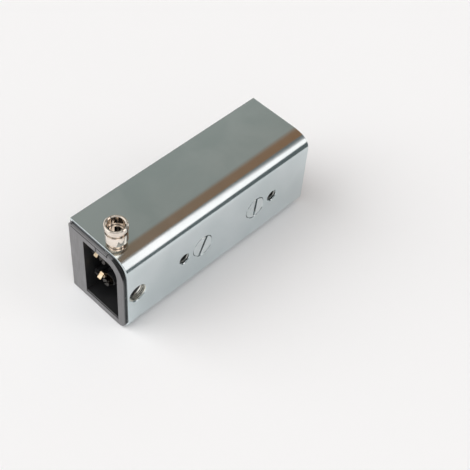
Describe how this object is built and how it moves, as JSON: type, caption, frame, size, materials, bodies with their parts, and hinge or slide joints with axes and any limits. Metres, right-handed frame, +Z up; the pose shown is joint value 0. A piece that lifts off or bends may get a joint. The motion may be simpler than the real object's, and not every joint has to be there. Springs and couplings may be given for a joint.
{
  "type": "electromagnetic door holder",
  "caption": "Holding magnet for a door in a zinc plated sheet channel, with a moulded terminal chamber, a cable nipple and tapped holes in its back.",
  "frame": {"origin": "middle of the underside of the whole object as it lies in the picture", "axes": "+X from the pole face to the mounting web, +Y from the terminal end to the far end, +Z up through the nipple"},
  "size_m": [0.0294, 0.0908, 0.0465],
  "materials": {
    "zinc_sheet": "zinc plated, faint rolling grain",
    "screw_steel": "zinc plated, turned",
    "core_steel": "ground",
    "black_plastic": "satin moulded",
    "nickel": "bright nickel plate",
    "bush_steel": "turned and tapped",
    "brass": "bright",
    "bobbin_plastic": "natural moulded",
    "copper": "enamelled wire",
    "tape": "polyester tape",
    "resin": "cast",
    "lead_sleeve": "insulated wire",
    "terminal_steel": "blackened"
  },
  "bodies": {
    "root": {"housing_channel": "zinc_sheet", "core_screw_front": "screw_steel", "core_screw_rear": "screw_steel", "terminal_housing": "black_plastic", "cable_nipple": "nickel", "terminal_plate_upper": "brass", "terminal_plate_lower": "brass", "terminal_screw_upper": "terminal_steel", "terminal_screw_lower": "terminal_steel", "pole_core": "core_steel", "coil_bobbin": "bobbin_plastic", "coil_winding": "copper", "winding_tape": "tape", "potting_resin": "resin", "rear_cap": "black_plastic", "entry_insert_side": "bush_steel", "entry_insert_top": "bush_steel", "terminal_insert_upper": "brass", "terminal_insert_lower": "brass", "coil_lead_upper": "lead_sleeve", "coil_lead_lower": "lead_sleeve"}
  },
  "joints": []
}
